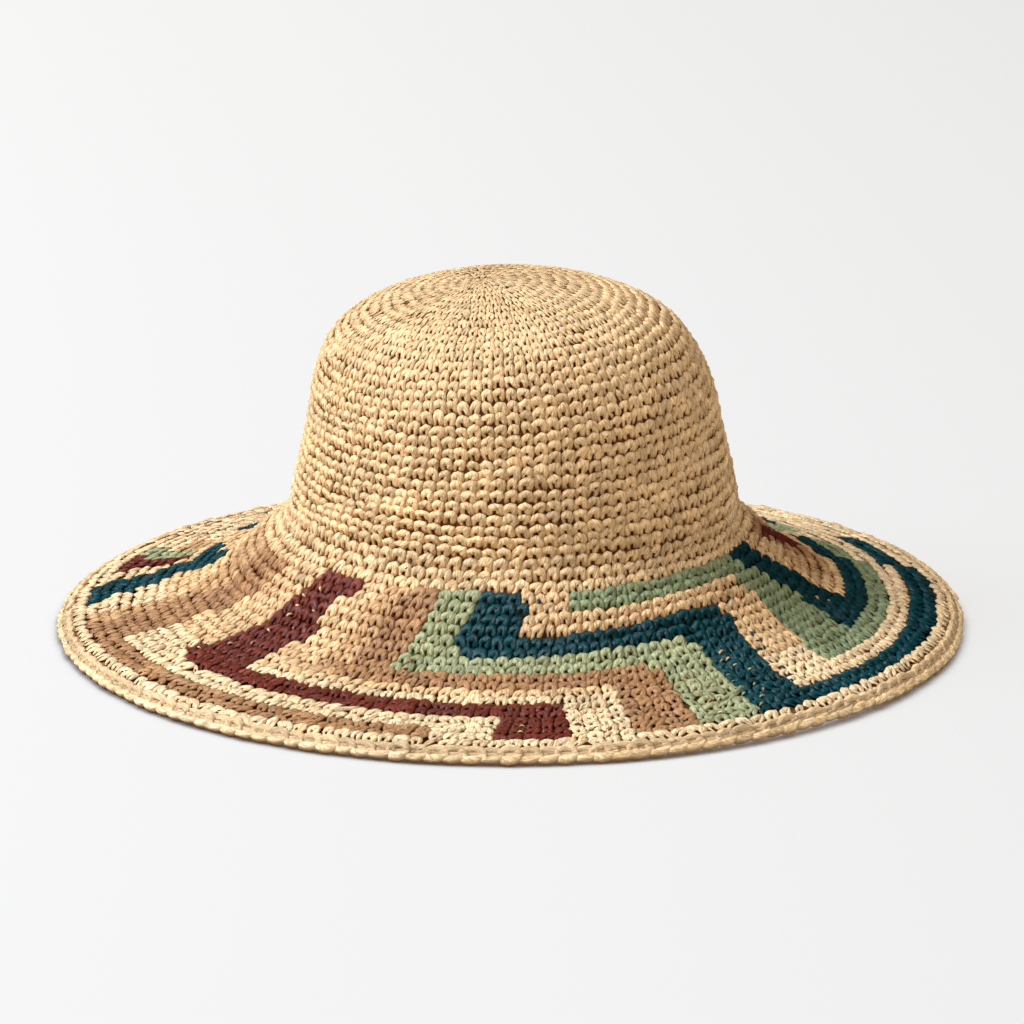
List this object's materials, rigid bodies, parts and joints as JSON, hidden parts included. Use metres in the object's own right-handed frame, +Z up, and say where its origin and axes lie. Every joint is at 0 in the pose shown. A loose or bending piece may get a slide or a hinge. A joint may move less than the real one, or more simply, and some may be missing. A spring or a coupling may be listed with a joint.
{
  "type": "crocheted wide-brim straw hat",
  "caption": "Soft crocheted straw hat with a domed crown, a wide bell-shaped brim in stepped dyed bands, and a chain-stitched edge.",
  "frame": {"origin": "on the surface that the hat rests on, under the middle of the brim", "axes": "+Z up through the crown; the front of the hat faces -Y; +X is the viewer's right seen from the front"},
  "size_m": [0.4126, 0.4126, 0.163],
  "materials": {
    "undyed_straw": "crocheted natural straw, dull with a faint dry sheen",
    "patterned_straw": "crocheted straw dyed in stepped bands of maroon, tan, greens and dark teal on natural"
  },
  "bodies": {
    "root": {"crown": "undyed_straw", "brim": "patterned_straw", "brim_edge": "undyed_straw"}
  },
  "joints": []
}
